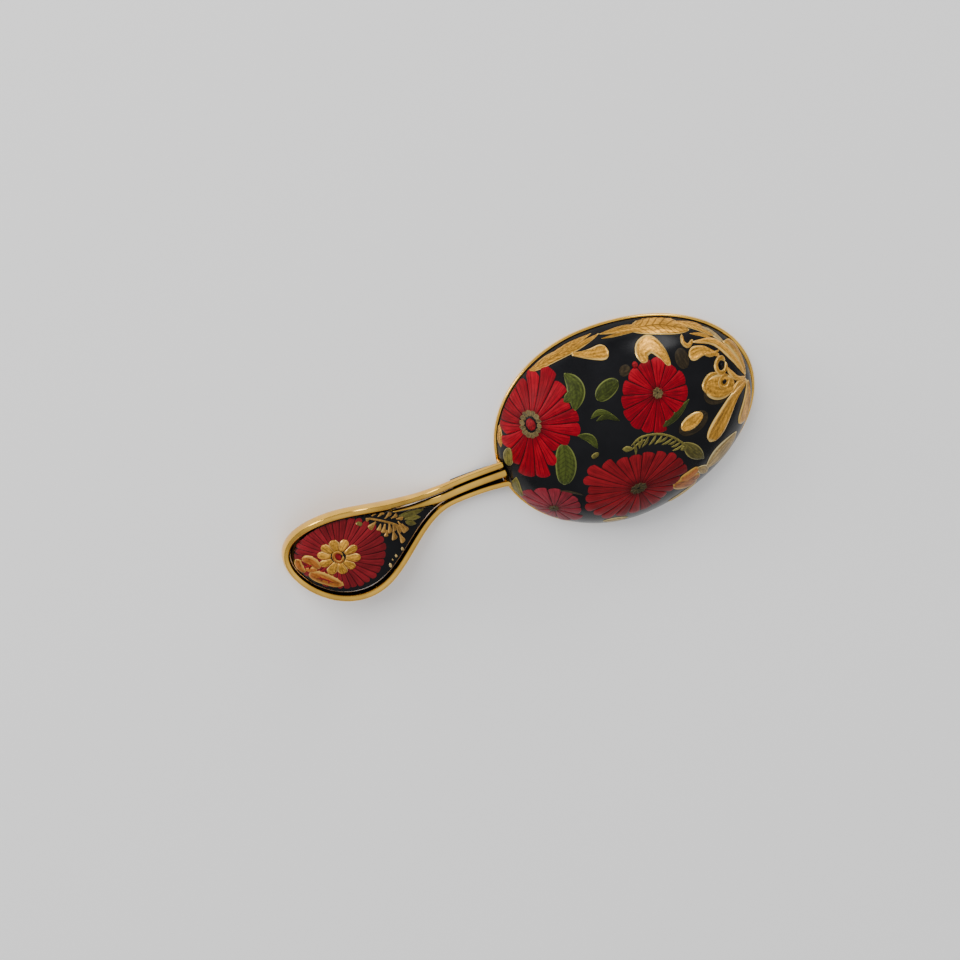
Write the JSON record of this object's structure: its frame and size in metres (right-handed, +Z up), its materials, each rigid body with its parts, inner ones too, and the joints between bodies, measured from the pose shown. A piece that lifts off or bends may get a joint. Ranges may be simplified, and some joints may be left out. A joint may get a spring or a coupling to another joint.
{
  "type": "painted spoon",
  "caption": "Painted spoon lying face down: domed egg-shaped bowl in a gilt rim, a neck of gilt rods, and an arched teardrop loop handle framing a painted plaque.",
  "frame": {"origin": "middle of the footprint's bounding box, on the plane that the bowl's rim and the handle's end rest on", "axes": "+X from the handle's end to the bowl's tip, +Z up out of the bowl's painted back, +Y to the left when looking along +X from above"},
  "size_m": [0.15, 0.064, 0.02],
  "materials": {
    "black_lacquer": "glossy black lacquer over turned wood, painted with flowers and leaves",
    "gilt_liner": "satin gilding on spun sheet",
    "gilt_brass": "polished gilding",
    "blackened_brass": "black lacquered sheet",
    "gilt_tray": "satin gilding on sheet, dark at the edges",
    "plaque_lacquer": "glossy lacquer over wood, painted with one large flower"
  },
  "bodies": {
    "root": {"bowl_shell": "black_lacquer", "bowl_liner": "gilt_liner", "bowl_rim": "gilt_brass", "neck_saddle": "gilt_brass", "handle_loop": "gilt_brass", "centre_rod": "gilt_brass", "neck_strip": "blackened_brass", "plaque_tray": "gilt_tray", "handle_plaque": "plaque_lacquer"}
  },
  "joints": []
}
